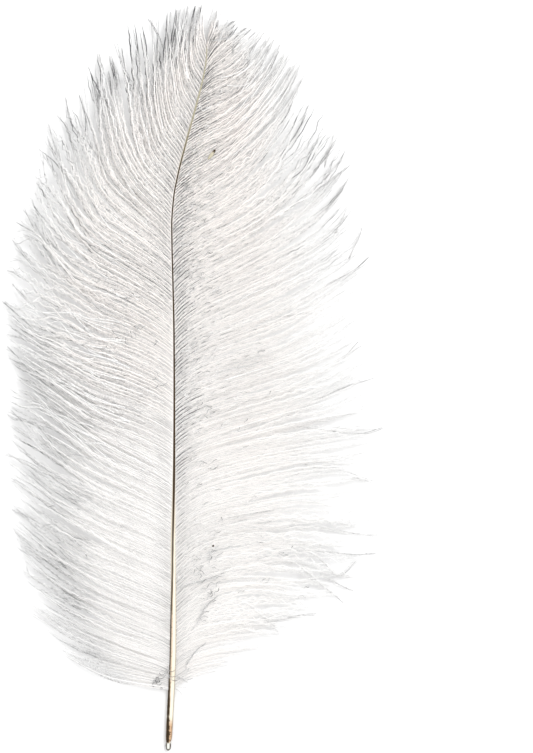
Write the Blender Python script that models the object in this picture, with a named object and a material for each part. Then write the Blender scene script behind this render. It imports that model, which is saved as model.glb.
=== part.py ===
"""One white ostrich feather, lying flat: a tapering horn shaft with 74 soft locks of barbs.

The feather lies on the plane z = 0 with its quill towards -Y and its tip towards +Y. The shaft
arches a little off the table and the locks droop from it to the table on both sides. The whole
feather grew as one piece, so every lock is fused to the shaft in one solid.
"""
import math
import random

import bmesh
import bpy
import numpy as np

# ---------------------------------------------------------------- driving dimensions (metres)
GRID = 0.0006                # one step of the drawing grid on which the plan points are counted
GRID_CENTRE = (193.27, 378.43)  # the grid point over the origin; grid rows count downwards

LOCKS_LEFT = 36
LOCKS_RIGHT = 38
LOCK_SECTIONS = (0.0, 0.035, 0.13, 0.27, 0.41, 0.55, 0.68, 0.80, 0.91, 1.0)  # shares of its length
LOCK_OVERLAP = 1.28          # lock width over the distance to its neighbour, so that locks meet
LOCK_FLATNESS = 0.17         # thickness of a lock over its width
LOCK_WIDEST = 0.0095         # greatest half width of a lock
LOCK_SLIMNESS = 0.12         # greatest half width of a short lock, as a share of its length
TAPER_SHARE = 0.34           # the outer share of a lock over which it narrows to its tip
TAPER_ROUNDING = 0.85        # under one, the narrowing starts gently and ends quickly
LOCK_ROOT_HALF_WIDTH = 0.0026
LOCK_TIP_HALF_WIDTH = 0.0007
LOCK_ARCH = 0.045            # rise of a lock over a straight line, as a share of its length
ARCH_LEAN = 0.8              # under one, the top of the arch lies nearer to the shaft
LOCK_FALL = 1.35             # over one, a lock leaves the shaft's height gently and falls later
TIP_HEIGHT = (0.0004, 0.0016)  # height of the lock tips over the table, lowest and highest
TIP_REACH = (-0.009, 0.0014)  # how far single lock tips stop short of the edge or run over it
LOCK_LIFT = (0.0004, 0.0014)  # how far locks ride over or under their neighbours, by turns

SHAFT_SIDES = 10
GROOVE_ROWS = (60, 670)      # the groove runs between these rows of the grid
GROOVE_SHARE = 0.36          # groove size over the shaft's radius
GROOVE_LEAN = math.radians(24)  # the groove is turned this far from straight up towards -X
GROOVE_WEDGE = ((0.0, 1.0), (-0.8, -0.5), (0.8, -0.5))  # its section, for a size of one
GROOVE_RUN_OUT = 3.0         # the cutter rises by this many sizes at its ends, clear of the shaft

TABLE_SIZE = (0.02, 0.09, 0.01)  # block under the quill whose top gives it its flat rest
TABLE_MIDDLE = (169.0, 720.0)    # grid point over which the block is centred

LINE_STEPS = 12              # straight steps between two points of a smooth line
NEIGHBOUR_STEPS = 40         # places at which the distance to the next lock is looked up
WELD = 1e-6                  # corners closer than this become one
MM = 0.001                   # metres in a millimetre

BARB_COLOUR = (0.87, 0.85, 0.82)
BARB_ROUGHNESS = 0.85

SEED = 41

# ---------------------------------------------------------------- plan points, counted on the grid
# The shaft: column, row, radius in mm, height of its centre over the table in mm.
SHAFT = [
    (168.0, 751.6, 0.55, 1.60), (168.0, 750.2, 1.20, 1.65), (168.2, 747.5, 1.48, 1.70),
    (168.4, 745.0, 1.46, 1.75), (168.5, 743.2, 1.30, 1.80), (168.6, 741.0, 1.72, 1.83),
    (168.7, 737.0, 1.88, 1.78), (169.5, 720.0, 1.98, 1.80), (170.9, 695.0, 2.02, 1.83),
    (172.7, 658.0, 2.08, 2.95), (173.2, 620.0, 1.90, 4.40), (173.5, 580.0, 1.62, 6.20),
    (173.1, 540.0, 1.42, 7.90), (173.8, 505.0, 1.22, 9.20), (174.3, 465.0, 1.06, 10.3),
    (174.5, 420.0, 0.94, 11.1), (174.5, 376.0, 0.84, 11.5), (174.2, 329.0, 0.76, 11.6),
    (173.2, 285.0, 0.70, 11.3), (172.2, 250.0, 0.65, 10.9), (171.8, 220.0, 0.60, 10.4),
    (174.2, 193.0, 0.56, 9.90), (179.6, 168.0, 0.52, 9.30), (187.0, 140.0, 0.48, 8.50),
    (196.0, 107.0, 0.43, 7.40), (202.0, 84.0, 0.38, 6.50), (206.0, 65.0, 0.33, 5.60),
    (207.0, 46.0, 0.22, 4.60),
]

# Locks that show the way the barbs run: each is its root on the shaft, four points between,
# and its tip.
LEFT_GUIDES = [
    [(207, 46), (205, 38), (203, 30), (202, 21), (202, 12), (203, 2)],
    [(204, 75), (196, 64), (192, 50), (192, 35), (194, 20), (197, 5)],
    [(193, 118), (180, 100), (175, 78), (174, 56), (176, 32), (179, 7)],
    [(181, 162), (162, 141), (154, 112), (151, 82), (149, 52), (147, 18)],
    [(174, 200), (146, 174), (130, 143), (122, 108), (118, 78), (112, 45)],
    [(172, 240), (139, 215), (109, 186), (96, 152), (88, 122), (79, 90)],
    [(173, 275), (133, 251), (97, 227), (74, 195), (59, 165), (44, 130)],
    [(174, 312), (132, 289), (92, 269), (62, 246), (40, 222), (22, 202)],
    [(174, 333), (132, 312), (91, 293), (57, 270), (32, 250), (11, 237)],
    [(174, 378), (132, 360), (92, 347), (55, 330), (27, 317), (2, 301)],
    [(174, 428), (132, 411), (92, 396), (57, 377), (29, 360), (6, 345)],
    [(174, 482), (133, 464), (95, 445), (61, 421), (34, 402), (10, 389)],
    [(173, 537), (133, 520), (97, 504), (63, 485), (35, 468), (7, 456)],
    [(173, 590), (135, 574), (101, 559), (69, 543), (44, 528), (22, 512)],
    [(173, 638), (138, 624), (106, 611), (77, 597), (54, 585), (32, 576)],
    [(172, 668), (145, 658), (117, 648), (90, 637), (67, 627), (46, 618)],
    [(171, 680), (151, 673), (131, 667), (111, 661), (92, 655), (74, 650)],
    [(171, 688), (157, 685), (143, 682), (129, 679), (115, 676), (102, 672)],
]
RIGHT_GUIDES = [
    [(207, 46), (208, 38), (210, 30), (211, 22), (212, 14), (213, 5)],
    [(206, 60), (212, 52), (219, 44), (226, 37), (232, 31), (239, 26)],
    [(201, 86), (213, 77), (227, 69), (240, 59), (249, 47), (257, 35)],
    [(194, 112), (211, 105), (229, 97), (246, 84), (260, 65), (268, 40)],
    [(184, 150), (207, 139), (231, 126), (253, 107), (271, 80), (282, 52)],
    [(175, 193), (202, 178), (230, 160), (256, 136), (278, 105), (293, 68)],
    [(172, 232), (203, 217), (235, 198), (265, 173), (291, 139), (309, 98)],
    [(173, 272), (206, 254), (241, 236), (278, 213), (314, 182), (341, 141)],
    [(174, 314), (208, 294), (245, 276), (284, 256), (323, 231), (356, 197)],
    [(174, 358), (210, 340), (249, 325), (290, 307), (332, 284), (372, 256)],
    [(174, 404), (210, 389), (250, 376), (291, 362), (331, 344), (366, 322)],
    [(174, 452), (210, 437), (250, 425), (292, 413), (336, 398), (377, 376)],
    [(174, 476), (210, 460), (250, 449), (293, 440), (338, 433), (382, 428)],
    [(174, 524), (209, 506), (250, 496), (293, 489), (337, 484), (381, 480)],
    [(173, 572), (207, 552), (246, 543), (288, 541), (330, 546), (372, 555)],
    [(173, 618), (204, 600), (238, 592), (274, 591), (310, 594), (346, 601)],
    [(172, 660), (196, 647), (221, 640), (245, 637), (268, 636), (290, 638)],
    [(171, 676), (190, 666), (208, 660), (225, 657), (241, 655), (256, 656)],
    [(171, 688), (182, 682), (193, 678), (203, 675), (212, 673), (220, 672)],
]


def plan(column, row):
    """Metres on the table for a point counted on the drawing grid."""
    return (column - GRID_CENTRE[0]) * GRID, (GRID_CENTRE[1] - row) * GRID


def smooth_line(points, shares):
    """Points at the given shares of the length of a smooth line through the given points."""
    given = np.asarray(points, dtype=float)
    before = 2 * given[0] - given[1]
    after = 2 * given[-1] - given[-2]
    padded = np.vstack([before, given, after])
    fine = []
    for step in range(len(given) - 1):
        p0, p1, p2, p3 = padded[step:step + 4]
        for t in np.linspace(0.0, 1.0, LINE_STEPS, endpoint=False):
            fine.append(0.5 * (2 * p1 + (p2 - p0) * t + (2 * p0 - 5 * p1 + 4 * p2 - p3) * t ** 2
                               + (3 * p1 - p0 - 3 * p2 + p3) * t ** 3))
    fine.append(given[-1])
    fine = np.array(fine)
    along = np.concatenate([[0.0], np.cumsum(np.linalg.norm(np.diff(fine, axis=0), axis=1))])
    wanted = np.asarray(shares) * along[-1]
    return np.column_stack([np.interp(wanted, along, fine[:, axis]) for axis in range(fine.shape[1])])


def shaft_at(row):
    """Column, and radius and height of the centre in metres, where the shaft crosses a grid row."""
    points = np.array(SHAFT[::-1])
    column, radius, height = (np.interp(row, points[:, 1], points[:, axis]) for axis in (0, 2, 3))
    return column, radius * MM, height * MM


def lock_lines(guides, count):
    """Plan lines of all the locks of one side, spread evenly between the guides along the shaft."""
    guides = np.asarray(guides, dtype=float)
    root_rows = guides[:, 0, 1]
    lines = []
    for row in np.linspace(root_rows[0], root_rows[-1], count):
        points = [[float(np.interp(row, root_rows, guides[:, place, axis])) for axis in (0, 1)]
                  for place in range(guides.shape[1])]
        lines.append(points)
    return lines


def vary_tips(lines, chance):
    """Run single tips on or stop them short, each along its own direction."""
    for points in lines:
        last = np.array(points[-1]) - np.array(points[-2])
        reach = chance.uniform(*TIP_REACH) / GRID
        points[-1] = list(np.array(points[-1]) + last / np.linalg.norm(last) * reach)
    return lines


def round_points(sides):
    """Corners of an even polygon of radius one, with a flat side downwards."""
    angles = [2 * math.pi * (side + 0.5) / sides for side in range(sides)]
    return [(math.sin(angle), math.cos(angle)) for angle in angles]


def table_block(collection):
    """The table under the quill, whose top wears the quill flat."""
    middle = plan(*TABLE_MIDDLE)
    bpy.ops.mesh.primitive_cube_add(size=1.0)
    block = bpy.context.object
    block.name = "table"
    block.scale = TABLE_SIZE
    block.location = (middle[0], middle[1], -TABLE_SIZE[2] / 2)
    for holder in list(block.users_collection):
        holder.objects.unlink(block)
    collection.objects.link(block)
    block.hide_render = True
    block.display_type = 'WIRE'
    return block


def material(name, colour, roughness):
    """A plain surface of one colour."""
    made = bpy.data.materials.new(name)
    made.use_nodes = True
    shader = made.node_tree.nodes["Principled BSDF"]
    shader.inputs["Base Color"].default_value = (*colour, 1.0)
    shader.inputs["Roughness"].default_value = roughness
    return made


def section(name, outline, guides_collection):
    """A closed outline that a line carries along itself."""
    curve = bpy.data.curves.new(name, 'CURVE')
    curve.dimensions = '2D'
    spline = curve.splines.new('POLY')
    spline.points.add(len(outline) - 1)
    for point, (across, up) in zip(spline.points, outline):
        point.co = (across, up, 0.0, 1.0)
    spline.use_cyclic_u = True
    made = bpy.data.objects.new(name, curve)
    guides_collection.objects.link(made)
    made.hide_render = True
    made.display_type = 'WIRE'
    return made


def swept(name, points, radii, outline, collection):
    """A solid made by carrying the outline along the points, scaled to each radius."""
    curve = bpy.data.curves.new(name + " line", 'CURVE')
    curve.dimensions = '3D'
    curve.twist_mode = 'Z_UP'
    curve.bevel_mode = 'OBJECT'
    curve.bevel_object = outline
    curve.use_fill_caps = True
    spline = curve.splines.new('POLY')
    spline.points.add(len(points) - 1)
    for point, place, radius in zip(spline.points, points, radii):
        point.co = (*place, 1.0)
        point.radius = radius
    line = bpy.data.objects.new(name + " line", curve)
    collection.objects.link(line)
    bpy.context.view_layer.update()
    graph = bpy.context.evaluated_depsgraph_get()
    mesh = bpy.data.meshes.new_from_object(line.evaluated_get(graph))
    mesh.name = name
    bpy.data.objects.remove(line)
    body = bmesh.new()
    body.from_mesh(mesh)
    bmesh.ops.remove_doubles(body, verts=body.verts, dist=WELD)
    bmesh.ops.recalc_face_normals(body, faces=body.faces)
    body.to_mesh(mesh)
    body.free()
    made = bpy.data.objects.new(name, mesh)
    collection.objects.link(made)
    return made


def lock_heights(root_row, length, tip_height, lift):
    """Heights along a lock: from the shaft over a low arch and down to the table."""
    root_height = shaft_at(root_row)[2]
    share = np.array(LOCK_SECTIONS)
    straight = root_height + (tip_height - root_height) * share ** LOCK_FALL
    arch = LOCK_ARCH * length * np.sin(math.pi * share ** ARCH_LEAN)
    return straight + arch + lift * np.sin(math.pi * share)


def lock_half_widths(line, length, neighbours):
    """Half widths along a lock, from the distance to the locks beside it, tapering to both ends."""
    gaps = []
    for neighbour in neighbours:
        apart = neighbour[None, :, :] - line[:, None, :]
        gaps.append(np.min(np.linalg.norm(apart, axis=2), axis=1))
    widest = min(LOCK_WIDEST, LOCK_SLIMNESS * length)
    half = np.minimum(LOCK_OVERLAP * np.mean(gaps, axis=0) / 2, widest)
    taper = np.clip((1.0 - np.array(LOCK_SECTIONS)) / TAPER_SHARE, 0.0, 1.0) ** TAPER_ROUNDING
    half = LOCK_TIP_HALF_WIDTH + np.maximum(half - LOCK_TIP_HALF_WIDTH, 0.0) * taper
    half[0] = LOCK_ROOT_HALF_WIDTH
    return half


def build_locks(side, guides, count, outline, collection, chance):
    """All the locks of one side as separate solids, ready to be fused."""
    lines = vary_tips(lock_lines(guides, count), chance)
    flat = [smooth_line([plan(*point) for point in line], LOCK_SECTIONS) for line in lines]
    fine = [smooth_line(line, np.linspace(0.0, 1.0, NEIGHBOUR_STEPS)) for line in flat]
    for number, line in enumerate(flat):
        neighbours = fine[max(number - 1, 0):number] + fine[number + 1:number + 2]
        length = float(np.sum(np.linalg.norm(np.diff(line, axis=0), axis=1)))
        lift = chance.uniform(*LOCK_LIFT) * (1 if number % 2 else -1)
        heights = lock_heights(lines[number][0][1], length, chance.uniform(*TIP_HEIGHT), lift)
        points = np.column_stack([line, heights])
        widths = lock_half_widths(line, length, neighbours)
        swept(f"lock {side} {number + 1}", points, widths, outline, collection)


def groove_cutter(collection):
    """A thin wedge along the upper left of the shaft, which runs out of it at both ends."""
    outline = section("groove section", GROOVE_WEDGE, collection)
    points = []
    radii = []
    for column, row, radius, height in SHAFT:
        if GROOVE_ROWS[0] < row < GROOVE_ROWS[1]:
            out = radius * MM
            x, y = plan(column, row)
            points.append((x - math.sin(GROOVE_LEAN) * out, y, height * MM + math.cos(GROOVE_LEAN) * out))
            radii.append(GROOVE_SHARE * out)
    for end in (0, -1):
        x, y, z = points[end]
        points[end] = (x, y, z + GROOVE_RUN_OUT * radii[end])
    cutter = swept("groove", points, radii, outline, collection)
    cutter.hide_render = True
    cutter.display_type = 'WIRE'
    return cutter


def fuse(feather, collection):
    """Join every solid of the collection to the feather."""
    join = feather.modifiers.new("locks", 'BOOLEAN')
    join.operation = 'UNION'
    join.operand_type = 'COLLECTION'
    join.collection = collection
    join.solver = 'EXACT'
    bake(feather)


def cut(feather, cutter):
    """Take the cutter's form out of the feather."""
    less = feather.modifiers.new(cutter.name, 'BOOLEAN')
    less.operation = 'DIFFERENCE'
    less.object = cutter
    less.solver = 'EXACT'
    bake(feather)


def bake(feather):
    """Turn the feather's modifiers into its mesh."""
    bpy.context.view_layer.update()
    graph = bpy.context.evaluated_depsgraph_get()
    shaped = bpy.data.meshes.new_from_object(feather.evaluated_get(graph))
    feather.modifiers.clear()
    feather.data = shaped


def main():
    for leftover in list(bpy.data.objects):
        bpy.data.objects.remove(leftover)
    feather_collection = bpy.data.collections.new("ostrich feather")
    guide_collection = bpy.data.collections.new("outlines")
    lock_collection = bpy.data.collections.new("locks")
    for made in (feather_collection, guide_collection, lock_collection):
        bpy.context.scene.collection.children.link(made)
    chance = random.Random(SEED)
    round_outline = section("shaft section", round_points(SHAFT_SIDES), guide_collection)
    lock_outline = section("lock section", [
        (1.0, 0.0), (0.0, LOCK_FLATNESS), (-1.0, 0.0), (0.0, -LOCK_FLATNESS)], guide_collection)
    shaft_points = [(*plan(column, row), height * MM) for column, row, _, height in SHAFT]
    shaft_radii = [radius * MM for _, _, radius, _ in SHAFT]
    feather = swept("feather", shaft_points, shaft_radii, round_outline, feather_collection)
    build_locks("left", LEFT_GUIDES, LOCKS_LEFT, lock_outline, lock_collection, chance)
    build_locks("right", RIGHT_GUIDES, LOCKS_RIGHT, lock_outline, lock_collection, chance)
    fuse(feather, lock_collection)
    for lock in list(lock_collection.objects):
        bpy.data.objects.remove(lock)
    bpy.data.collections.remove(lock_collection)
    cut(feather, groove_cutter(guide_collection))
    cut(feather, table_block(guide_collection))
    feather.data.materials.clear()
    feather.data.materials.append(material("ostrich barbs", BARB_COLOUR, BARB_ROUGHNESS))


main()
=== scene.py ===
"""A white ostrich plume lying on a pale table, seen from above.

The plume is one horn shaft with two vanes of loose barbs. Each barb is a thin rib that carries two
rows of fine barbules. The barbs spring from the shaft 0.7 mm apart, bow out and up along the vane,
and gather into pointed bunches at its outer edge. Loose wisps, crinkled threads, small squiggles, a
little down and two specks of dirt lie over them.
"""
import math

import bpy
import numpy as np
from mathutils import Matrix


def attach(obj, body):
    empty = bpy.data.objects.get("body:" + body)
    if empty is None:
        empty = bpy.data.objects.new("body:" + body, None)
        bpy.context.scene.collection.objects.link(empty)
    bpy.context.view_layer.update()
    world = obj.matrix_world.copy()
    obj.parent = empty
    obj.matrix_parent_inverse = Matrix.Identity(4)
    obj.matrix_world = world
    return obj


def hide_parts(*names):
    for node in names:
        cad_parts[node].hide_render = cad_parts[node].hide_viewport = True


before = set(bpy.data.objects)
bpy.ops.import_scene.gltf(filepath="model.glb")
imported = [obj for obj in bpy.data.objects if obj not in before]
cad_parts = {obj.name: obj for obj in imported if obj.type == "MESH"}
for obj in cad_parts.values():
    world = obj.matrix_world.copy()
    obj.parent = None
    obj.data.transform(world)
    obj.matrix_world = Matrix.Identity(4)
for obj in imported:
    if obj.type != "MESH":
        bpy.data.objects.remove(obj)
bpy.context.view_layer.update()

bl_info = {
    "name": "Ostrich plume",
    "version": (1, 0, 0),
    "blender": (4, 5, 0),
    "location": "3D View > Sidebar > Plume",
    "description": "Dresses a feather's solid with its shaft, barbs, wisps and down",
    "category": "Add Mesh",
}

NODE = "feather"
MAP = "OFBake"

# ------------------------------------------------------------------ plan of the feather
# Points are counted on a drawing grid of 0.6 mm steps whose rows run downwards, towards the quill.
GRID = 0.0006
GRID_CENTRE = (193.27, 378.43)    # grid point at the frame's origin
PICTURE_CENTRE = (266.5, 376.5)   # grid point in the middle of the view
PICTURE_ROWS = 753                # grid rows from the top to the bottom of the view
FLOOR_CLEARANCE = 0.0003          # lowest height of a barb over the table
BUNCH_SIZE = 3                    # barbs in a bunch

# The shaft: column, row, radius in mm, height of its centre over the table in mm.
SHAFT = [
    (168.0, 751.6, 0.60, 1.60), (168.0, 750.2, 1.30, 1.65), (168.0, 747.5, 1.60, 1.70),
    (168.0, 745.0, 1.50, 1.75), (168.1, 743.2, 1.22, 1.80), (168.4, 741.0, 1.66, 1.83),
    (168.7, 737.0, 1.88, 1.78), (169.5, 720.0, 1.98, 1.80), (170.9, 695.0, 2.02, 1.83),
    (172.7, 658.0, 2.08, 2.95), (173.2, 620.0, 1.90, 4.40), (173.5, 580.0, 1.62, 6.20),
    (173.1, 540.0, 1.42, 7.90), (173.8, 505.0, 1.22, 9.20), (174.3, 465.0, 1.06, 10.3),
    (174.5, 420.0, 0.94, 11.1), (174.5, 376.0, 0.84, 11.5), (174.2, 329.0, 0.76, 11.6),
    (173.2, 285.0, 0.70, 11.3), (172.2, 250.0, 0.65, 10.9), (171.8, 220.0, 0.60, 10.4),
    (174.2, 193.0, 0.56, 9.90), (179.6, 168.0, 0.52, 9.30), (187.0, 140.0, 0.48, 8.50),
    (196.0, 107.0, 0.43, 7.40), (202.0, 84.0, 0.38, 6.50), (206.0, 65.0, 0.33, 5.60),
    (207.0, 46.0, 0.22, 4.60),
]
NECK = 7    # number of the shaft's point where the rounded end and its neck are over

# Lines that show the way the barbs run: each is its root on the shaft, four points between, its tip.
LEFT_GUIDES = [
    [(207, 46), (205, 38), (203, 30), (202, 21), (202, 12), (203, 2)],
    [(204, 75), (196, 64), (192, 50), (192, 35), (194, 20), (197, 5)],
    [(193, 118), (180, 100), (175, 78), (174, 56), (176, 31), (178, 4)],
    [(181, 162), (162, 141), (154, 112), (151, 82), (148, 51), (144, 14)],
    [(174, 200), (146, 174), (130, 143), (121, 107), (116, 76), (108, 40)],
    [(172, 240), (139, 215), (109, 186), (95, 151), (86, 120), (75, 86)],
    [(173, 275), (133, 251), (97, 227), (74, 195), (59, 165), (44, 130)],
    [(174, 312), (132, 289), (92, 269), (62, 246), (40, 222), (22, 202)],
    [(174, 333), (132, 312), (91, 293), (57, 270), (32, 250), (11, 237)],
    [(174, 378), (132, 360), (92, 347), (55, 330), (27, 317), (2, 301)],
    [(174, 428), (132, 411), (92, 396), (57, 377), (29, 360), (6, 345)],
    [(174, 482), (133, 464), (95, 445), (61, 421), (34, 402), (10, 389)],
    [(173, 537), (133, 520), (97, 504), (62, 486), (33, 467), (3, 449)],
    [(173, 590), (135, 575), (100, 560), (67, 543), (39, 524), (13, 506)],
    [(173, 638), (138, 626), (105, 613), (74, 598), (46, 581), (20, 563)],
    [(172, 668), (145, 660), (116, 650), (86, 638), (57, 623), (30, 606)],
    [(171, 680), (151, 677), (128, 672), (102, 665), (74, 655), (47, 641)],
    [(171, 688), (157, 687), (141, 686), (123, 684), (105, 679), (86, 671)],
]
RIGHT_GUIDES = [
    [(207, 46), (208, 38), (210, 30), (211, 22), (212, 14), (213, 5)],
    [(206, 60), (212, 52), (219, 44), (226, 36), (234, 29), (242, 23)],
    [(201, 86), (213, 77), (227, 69), (241, 58), (252, 45), (262, 32)],
    [(194, 112), (211, 105), (229, 97), (247, 83), (262, 63), (274, 38)],
    [(184, 150), (207, 139), (231, 126), (254, 106), (274, 79), (289, 50)],
    [(175, 193), (202, 178), (230, 160), (257, 135), (281, 104), (301, 66)],
    [(172, 232), (203, 217), (235, 198), (266, 172), (294, 138), (317, 96)],
    [(173, 272), (206, 254), (241, 236), (278, 213), (314, 182), (341, 141)],
    [(174, 314), (208, 294), (245, 276), (284, 256), (323, 231), (356, 197)],
    [(174, 358), (210, 340), (249, 325), (290, 307), (332, 284), (372, 256)],
    [(174, 404), (210, 389), (250, 376), (291, 362), (331, 344), (366, 322)],
    [(174, 452), (210, 437), (250, 425), (292, 413), (336, 398), (377, 376)],
    [(174, 476), (210, 460), (250, 449), (293, 440), (338, 433), (382, 428)],
    [(174, 524), (209, 506), (250, 496), (293, 489), (337, 484), (381, 480)],
    [(173, 572), (207, 552), (246, 543), (288, 541), (330, 546), (372, 555)],
    [(173, 618), (204, 600), (238, 592), (274, 591), (310, 594), (346, 601)],
    [(172, 660), (196, 647), (221, 640), (246, 637), (272, 636), (298, 639)],
    [(171, 676), (190, 666), (208, 660), (226, 657), (245, 655), (264, 656)],
    [(171, 688), (182, 682), (193, 678), (203, 675), (212, 673), (220, 672)],
]

# Single wisps that stand out over the vanes: three points of each, the last one its tip, and how
# dark it is.
WISPS = [
    ((52, 246), (32, 232), (15, 222), 0.6), ((48, 284), (26, 258), (10, 238), 0.6),
    ((44, 246), (30, 222), (22, 205), 0.6), ((34, 305), (20, 293), (10, 283), 0.5),
    ((30, 326), (14, 312), (1, 300), 0.7), ((36, 344), (20, 338), (5, 334), 0.5),
    ((34, 374), (18, 357), (6, 345), 0.7), ((34, 404), (20, 396), (10, 389), 0.4),
    ((40, 444), (24, 424), (10, 409), 0.5), ((46, 470), (24, 460), (5, 456), 0.4),
    ((40, 496), (26, 486), (13, 478), 0.4), ((46, 578), (30, 576), (25, 566), 0.4),
    ((88, 144), (72, 124), (65, 96), 0.8), ((66, 178), (52, 160), (38, 149), 0.7),
    ((72, 146), (66, 128), (56, 114), 0.6), ((62, 164), (53, 142), (48, 122), 0.5),
    ((86, 138), (85, 116), (79, 94), 0.9), ((112, 98), (110, 84), (108, 70), 0.6),
    ((116, 90), (115, 72), (111, 55), 0.7), ((125, 70), (123, 58), (121, 46), 0.8),
    ((164, 50), (158, 34), (149, 18), 0.9), ((169, 48), (168, 38), (165, 27), 0.8),
    ((172, 40), (170, 26), (170, 10), 0.7), ((177, 34), (178, 22), (179, 8), 0.7),
    ((184, 28), (186, 16), (188, 5), 0.6), ((194, 32), (196, 20), (199, 6), 0.5),
    ((206, 30), (210, 18), (214, 6), 0.4), ((219, 40), (223, 30), (228, 19), 0.4),
    ((220, 39), (230, 37), (238, 27), 0.8), ((235, 66), (233, 52), (235, 38), 0.7),
    ((248, 64), (252, 49), (262, 35), 0.7), ((262, 64), (266, 54), (271, 43), 0.6),
    ((272, 66), (275, 58), (278, 49), 0.8), ((286, 88), (288, 78), (291, 66), 0.6),
    ((290, 106), (294, 95), (298, 86), 0.4), ((300, 126), (304, 115), (308, 104), 0.6),
    ((328, 156), (331, 146), (334, 133), 0.4), ((332, 170), (340, 160), (346, 149), 0.7),
    ((326, 183), (340, 174), (353, 163), 0.5), ((340, 224), (344, 215), (348, 205), 0.3),
    ((354, 248), (359, 237), (363, 226), 0.6), ((336, 280), (354, 270), (370, 256), 0.7),
    ((346, 356), (352, 349), (359, 341), 0.5), ((300, 408), (336, 391), (377, 378), 0.5),
    ((318, 429), (360, 434), (384, 427), 0.6), ((324, 468), (346, 472), (380, 484), 0.4),
    ((340, 531), (360, 535), (382, 536), 0.4), ((320, 552), (350, 554), (377, 555), 0.6),
    ((326, 565), (340, 577), (358, 560), 0.5), ((315, 580), (332, 594), (346, 606), 0.5),
    ((332, 581), (344, 587), (355, 592), 0.4), ((282, 620), (300, 616), (319, 614), 0.5),
    ((259, 614), (270, 624), (279, 634), 0.4), ((238, 515), (256, 512), (274, 509), 0.5),
    ((190, 584), (206, 579), (226, 572), 0.6), ((199, 619), (206, 606), (218, 595), 0.6),
    ((190, 660), (196, 651), (206, 642), 0.6), ((204, 166), (210, 158), (214, 150), 0.9),
]

# Patches of small dark squiggles: the middle, the half width and the half height of each on the
# grid, and how many squiggles it has.
SQUIGGLES = [
    (196, 308, 16, 34, 13), (198, 400, 16, 40, 9), (203, 566, 13, 36, 26), (208, 607, 9, 12, 8),
    (142, 322, 20, 26, 20), (160, 380, 10, 14, 5), (93, 336, 18, 16, 8), (192, 230, 14, 34, 10),
    (196, 470, 14, 22, 6), (245, 372, 30, 60, 8), (262, 560, 45, 40, 10), (75, 520, 20, 70, 8),
    (210, 155, 3, 4, 5),
]

# Soft hollows in the left vane, where grey is painted as shade: the middle, the half width and
# the half height of each, and how deep its painted shade is.
HOLLOWS = [
    (84, 424, 22, 9, 0.6), (74, 499, 16, 9, 0.8), (82, 539, 12, 8, 0.8), (72, 605, 20, 13, 0.9),
    (94, 647, 16, 9, 0.6), (46, 330, 14, 20, 0.5), (60, 462, 16, 14, 0.5), (60, 560, 14, 12, 0.5),
]

# A husk and a grain of dirt that lie on the right vane: the two ends of each on the grid, half its
# width in metres and how olive it is.
SPECKS = [
    ((208.2, 161.2), (215.9, 150.8), 0.00105, 0.85), ((212.7, 545.6), (214.3, 544.0), 0.0006, 0.0),
]


# ------------------------------------------------------------------ sizes and colours
class PlumeSizes(bpy.types.PropertyGroup):
    """Counts and sizes that a user can change."""
    bunches: bpy.props.IntProperty(
        name="Bunches a side", description="Small pointed bunches of three barbs along each edge",
        default=184, min=20)
    tufts: bpy.props.IntProperty(
        name="Tufts a side", description="Larger tufts that the bunches lean towards", default=76)
    rib_width: bpy.props.FloatProperty(
        name="Rib width", description="Thickness of a strong barb's rib at the shaft",
        default=0.00050, subtype='DISTANCE', unit='LENGTH')
    barbule_length: bpy.props.FloatProperty(
        name="Barbule length", description="Length of a long barbule over the middle of a barb",
        default=0.0020, subtype='DISTANCE', unit='LENGTH')
    barbule_pitch: bpy.props.FloatProperty(
        name="Barbule pitch", description="Distance from one barbule to the next along a barb",
        default=0.00026, subtype='DISTANCE', unit='LENGTH')
    arch: bpy.props.FloatProperty(
        name="Arch", description="Rise of a barb over a straight line, as a share of its length",
        default=0.045)


def colour_property(name, description, default):
    """A colour that a user can change."""
    return bpy.props.FloatVectorProperty(
        name=name, description=description, subtype='COLOR', size=3, default=default)


class PlumeColours(bpy.types.PropertyGroup):
    """Colours that a user can change."""
    barb: colour_property("Barb", "White of the barbs", (0.955, 0.951, 0.944))
    warm: colour_property("Warm", "Cream tint beside the shaft", (0.955, 0.919, 0.892))
    # The grey also paints shade: on the lower sides of bunches and tufts, on strong ribs and their roots
    # beside the shaft, and in the hollows.
    grey: colour_property("Grey", "Grey of the tips, ribs and hollows", (0.10, 0.10, 0.105))
    horn: colour_property("Horn", "Ivory of the quill", (0.66, 0.60, 0.49))
    # The stripe's brown is partly the horn's own pigment and partly painted shade of the groove, the
    # quill's sides and the clear end's rim; it also colours the flecks and the specks.
    stripe: colour_property("Stripe", "Dark brown of the stripe and the groove", (0.032, 0.019, 0.008))
    khaki: colour_property("Khaki", "Olive of the shaft's thin end", (0.32, 0.30, 0.22))
    stain: colour_property("Stain", "Orange brown of the quill's end", (0.44, 0.29, 0.18))


# ------------------------------------------------------------------ lines of the feather
def plan(points):
    """Metres in the frame for points counted on the drawing grid, rows turned upwards."""
    points = np.asarray(points, dtype=float)
    return (points - GRID_CENTRE) * (GRID, -GRID)


def cubic_weights(share):
    """Weights of four neighbours in a row at a share of the way between the middle two."""
    s, s2, s3 = share, share ** 2, share ** 3
    return np.stack([-0.5 * s + s2 - 0.5 * s3, 1 - 2.5 * s2 + 1.5 * s3,
                     0.5 * s + 2 * s2 - 1.5 * s3, -0.5 * s2 + 0.5 * s3])


def padded_ends(values, axis):
    """The array with one more entry at both ends, straight on from the last two."""
    values = np.moveaxis(values, axis, 0)
    first = 2 * values[:1] - values[1:2]
    last = 2 * values[-1:] - values[-2:-1]
    return np.moveaxis(np.concatenate([first, values, last]), 0, axis)


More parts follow.
